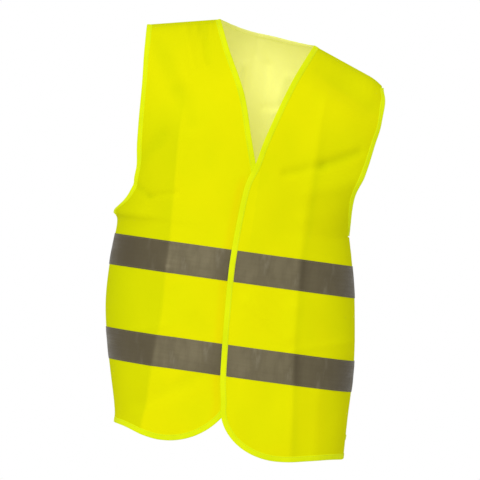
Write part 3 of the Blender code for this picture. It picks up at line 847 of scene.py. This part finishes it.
def tapePiece(side, level):
    # a strip between two level edges, lifted off the cloth with a crown 1 - v^6 and a slight waver of two
    # sines, with two rows of stitching on it
    front = side != "back"
    frameSide = side if front else None
    across = np.linspace(0.5, -0.5, tape["rows"]) * tape["width"]
    z = tape[level] + across
    if front:
        way = 1.0 if side == "left" else -1.0
        start = np.stack([edgeX(side, z) + way * (binding["width"] + 0.0002), z], axis=1)
        end = np.stack([sideX(side, z), z], axis=1)
        shares = crowdEnd(tape["frontColumns"])
    else:
        start = np.stack([sideX("right", z), z], axis=1)
        end = np.stack([sideX("left", z), z], axis=1)
        shares = crowdBoth(tape["backColumns"])
    grid = between(start, end, shares)
    x, z = grid[..., 0], grid[..., 1]
    point, normal = clothFrame(x, z, front, frameSide)
    crown = 1.0 - (2.0 * across / tape["width"])[:, None] ** 6
    waver = 0.00010 * wave(x, 0.021) * wave(z, 0.034, 1.0)
    lift = tape["lift"] + 0.0002 * crown + waver
    pile = Pile()
    addSheet(pile, point + normal * lift[..., None], normal, tape["thick"], 0, 0,
             {"shade": shadeOf(x, z, front, True)})
    for row, inwards in ((0, -1.0), (-1, 1.0)):
        share = np.linspace(0.012, 0.982, tape["stitchPoints"])
        sx = start[row, 0] + (end[row, 0] - start[row, 0]) * share
        sz = np.full(len(share), z[row, 0] + inwards * tape["stitchIn"])
        p, n = clothFrame(sx, sz, front, frameSide)
        addStitches(pile, p + n * (tape["lift"] + tape["thick"] / 2.0 + 0.0002), n, 1)
    piece = pile.build(side + level.capitalize() + "Tape", [tapeFinish, greyThreadFinish])
    return follow(piece, side, [side + "_" + level + "_tape"], bends=False)


# seams, closure patches and label
seam = {"deep": 0.0080, "thick": 0.0011, "frill": 0.00035, "belowUnderarm": 0.007, "aboveHem": 0.004,
        "shortOfEnds": 0.011, "topstitch": 0.0050}


def seamPiece(name, ridge, inwards, sideways, topstitch):
    # the allowance stands in from the ridge and its overlocked edge frills in a sine
    share = np.linspace(0.0, 1.0, 9)
    run = np.concatenate([[0.0], np.cumsum(np.linalg.norm(np.diff(ridge, axis=0), axis=1))])
    frill = seam["frill"] * wave(run, 0.0042)[:, None] * share[None, :] ** 2
    grid = ridge[:, None, :] + inwards[None, None, :] * (share * seam["deep"])[None, :, None]
    grid = grid + sideways[None, None, :] * frill[..., None]
    normal = np.broadcast_to(sideways, grid.shape)
    pile = Pile()
    addSheet(pile, grid, normal, seam["thick"])
    for path, up in topstitch:
        addStitches(pile, path, up, 1)
    for face in (1.0, -1.0):
        path = grid[:, 6] + face * sideways[None, :] * (seam["thick"] / 2.0 + 0.0002)
        addStitches(pile, path, face * np.broadcast_to(sideways, path.shape), 1)
    return pile.build(name, [outsideCloth, threadFinish])


def makeSeams():
    # a side seam spans the gap between the front and the back and is baked in place, while a shoulder seam
    # goes with the back
    made = []
    through = np.array([0.0, 1.0, 0.0])
    for side, way in (("left", 1.0), ("right", -1.0)):
        top = outline["side"][side][0][1] - seam["belowUnderarm"]
        z = np.linspace(top, backHemZ(side) + seam["aboveHem"], 300)
        ridge = np.stack([sideX(side, z) - way * 0.0004, np.zeros_like(z), z], axis=1)
        piece = seamPiece(side + "SideSeam", ridge, np.array([-way, 0.0, 0.0]), through, [])
        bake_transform(piece)
        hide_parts(side + "_side_seam")
        made.append(piece)
        x = np.linspace(form["neck"][side][0] + way * seam["shortOfEnds"],
                        form["tip"][side][0] - way * seam["shortOfEnds"], 120)
        ridge = np.stack([x, np.zeros_like(x), shoulderLine(x) - 0.0006], axis=1)
        rows = []
        for front in (True, False):
            p, n = clothFrame(x, shoulderLine(x) - seam["topstitch"], front, side if front else None)
            rows.append((p + n * 0.00065, n))
        piece = seamPiece(side + "ShoulderSeam", ridge, np.array([0.0, 0.0, -1.0]), through, rows)
        made.append(follow(piece, "back", [side + "_shoulder_seam"]))
    return made


patch = {"size": (0.018, 0.045), "thick": 0.0010, "gap": 0.0003, "hookX": 0.0178, "loopX": 0.0080,
         "levels": {"upper": -0.290, "lower": -0.470}, "stitchIn": 0.0016, "hookPitch": 0.0016,
         "loopPitch": 0.0024, "nap": 0.00016}


def patchPiece(level, kind):
    # a small strip inside the left front or outside the right, sewn round its edge; its pile is a product
    # of two sines, sin(x) sin(z)
    side, out = ("left", -1.0) if kind == "hook" else ("right", 1.0)
    width, height = patch["size"]
    x = patch[kind + "X"] + np.linspace(-0.5, 0.5, 46) * width
    z = patch["levels"][level] + np.linspace(0.5, -0.5, 112) * height
    gx, gz = np.meshgrid(x, z)
    point, normal = clothFrame(gx, gz, True, side)
    pitch = patch[kind + "Pitch"]
    nap = patch["nap"] * wave(gx, pitch) * wave(gz, pitch)
    lift = cloth["thick"] / 2.0 + patch["gap"] + patch["thick"] / 2.0 + nap
    pile = Pile()
    addSheet(pile, point + out * normal * lift[..., None], out * normal, patch["thick"])
    inX, inZ = width / 2.0 - patch["stitchIn"], height / 2.0 - patch["stitchIn"]
    corners = np.array([(-inX, inZ), (inX, inZ), (inX, -inZ), (-inX, -inZ), (-inX, inZ)])
    path = resample(corners + np.array([patch[kind + "X"], patch["levels"][level]]), 160)
    p, n = clothFrame(path[:, 0], path[:, 1], True, side)
    surface = cloth["thick"] / 2.0 + patch["gap"] + patch["thick"] + 0.00015
    addStitches(pile, p + out * n * surface, out * n, 1)
    finish = hookFinish if kind == "hook" else loopFinish
    piece = pile.build(level + kind.capitalize() + "Patch", [finish, threadFinish])
    return follow(piece, side, [level + "_" + kind + "_patch"])


label = {"size": (0.040, 0.050), "thick": 0.0005, "curl": 0.0012, "lean": -0.12}


def careLabel():
    # a blank satin ribbon in the place of its plain solid, curled by sin(u), less so towards top and bottom
    low, high = [np.array(corner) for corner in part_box("care_label")]
    middleZ = (low[2] + high[2]) / 2.0
    root = np.array([high[0] - 0.0032, low[1] + 0.0003, middleZ])
    along = np.linspace(0.0, 1.0, 60)[None, :]
    height = np.linspace(0.5, -0.5, 70)[:, None] * (label["size"][1] - 0.0006)
    way = np.array([-0.5, 0.866, 0.0])
    across = np.array([0.866, 0.5, 0.0])
    curl = label["curl"] * np.sin(along * np.pi) * (0.6 + 0.4 * np.cos(height * 40.0))
    lean = np.array([label["lean"], 0.0, 1.0])
    grid = (root[None, None, :] + way * (along * label["size"][0])[..., None] + across * curl[..., None]
            + lean * height[..., None])
    pile = Pile()
    addSheet(pile, grid, np.broadcast_to(across, grid.shape), label["thick"])
    for face in (1.0, -1.0):
        path = grid[:, 3] + face * across[None, :] * (label["thick"] / 2.0 + 0.0002)
        addStitches(pile, path, face * np.broadcast_to(across, path.shape), 1)
    piece = pile.build("careLabel", [labelFinish, threadFinish])
    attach(piece, "care_label")
    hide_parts("care_label")
    return piece


seams = makeSeams()
print("seams made")
fronts = {side: frontPanel(side) for side in ("left", "right")}
back = backPanel()
print("cloth panels made")
bindings = makeBindings()
print("bindings made")
tapes = {side: [tapePiece(side, level) for level in ("upper", "lower")]
         for side in ("left", "right", "back")}
print("tapes made")
patches = {"left": [patchPiece(level, "hook") for level in ("upper", "lower")],
           "right": [patchPiece(level, "loop") for level in ("upper", "lower")]}
satinLabel = careLabel()
print("patches and label made")

# the binding, tape and patch pieces of each side, gathered
for side, panel in (("left", fronts["left"]), ("right", fronts["right"]), ("back", back)):
    trim = bindings[side] + tapes[side] + patches.get(side, [])


# studio
studio = {"distance": 8.6, "lens": 400.0, "sensor": 36.0, "aim": (0.0036, 0.0, -0.3358), "roll": 8.0,
          "floor": -1.25, "ambient": 0.53, "sun": 1.34, "sunTurn": (62.0, 0.0, -22.0), "sunAngle": 22.0,
          "fill": 0.20, "fillTurn": (20.0, 0.0, 30.0), "fillAngle": 60.0}


def makeCamera():
    data = bpy.data.cameras.new("camera")
    data.lens = studio["lens"]
    data.sensor_width = studio["sensor"]
    data.clip_end = 100.0
    camera = bpy.data.objects.new("camera", data)
    x, y, z = studio["aim"]
    camera.location = (x, y - studio["distance"], z)
    camera.rotation_mode = "XYZ"
    camera.rotation_euler = (math.radians(90.0), math.radians(-studio["roll"]), 0.0)
    bpy.context.collection.objects.link(camera)
    bpy.context.scene.camera = camera


def makeSun(name):
    data = bpy.data.lights.new(name + "Light", "SUN")
    data.energy = studio[name]
    data.angle = math.radians(studio[name + "Angle"])
    light = bpy.data.objects.new(name + "Light", data)
    light.rotation_euler = [math.radians(angle) for angle in studio[name + "Turn"]]
    bpy.context.collection.objects.link(light)


def makeWorld():  # what lights the cloth is a little dimmer than the white that is seen behind it
    world = bpy.data.worlds.new("studio")
    world.use_nodes = True
    bpy.context.scene.world = world
    tree = world.node_tree
    tree.nodes.clear()
    start = Wire(tree, None)
    lightPath = start.node("ShaderNodeLightPath")
    seen = start.node("ShaderNodeBackground", None, {0: (1.0, 1.0, 1.0, 1.0), 1: 1.0})
    lit = start.node("ShaderNodeBackground", None, {0: (1.0, 1.0, 1.0, 1.0), 1: studio["ambient"]})
    mix = start.node("ShaderNodeMixShader")
    output = start.node("ShaderNodeOutputWorld")
    tree.links.new(lightPath.outputs["Is Camera Ray"], mix.inputs[0])
    tree.links.new(lit.outputs[0], mix.inputs[1])
    tree.links.new(seen.outputs[0], mix.inputs[2])
    tree.links.new(mix.outputs[0], output.inputs[0])


def makeFloor():  # a flat pale disc of rings, z = floor height
    rings, spokes = 12, 96
    radius = np.linspace(0.02, 7.0, rings)[:, None]
    angle = np.linspace(0.0, 2.0 * np.pi, spokes, endpoint=False)[None, :]
    points = np.stack([radius * np.cos(angle), radius * np.sin(angle),
                       np.full((rings, spokes), studio["floor"])], axis=-1).reshape(-1, 3)
    index = np.arange(rings * spokes).reshape(rings, spokes)
    after = np.roll(index, -1, axis=1)
    faces = np.stack([index[:-1], index[1:], after[1:], after[:-1]], axis=-1).reshape(-1, 4)
    mesh = bpy.data.meshes.new("floor")
    mesh.from_pydata(points.tolist(), [], faces.tolist() + [index[0].tolist()])
    floor = bpy.data.objects.new("floor", mesh)
    bpy.context.collection.objects.link(floor)
    material, shader, start = newMaterial("paleFloor", {"Roughness": 0.9})
    feed(shader, {"Base Color": noise(start, 2.0).tint((0.90, 0.90, 0.90, 1.0), (0.86, 0.86, 0.86, 1.0))})
    mesh.materials.append(material)


makeCamera()
makeWorld()
makeFloor()
makeSun("sun")
makeSun("fill")
bpy.context.scene.view_settings.view_transform = "Standard"
print("studio made")
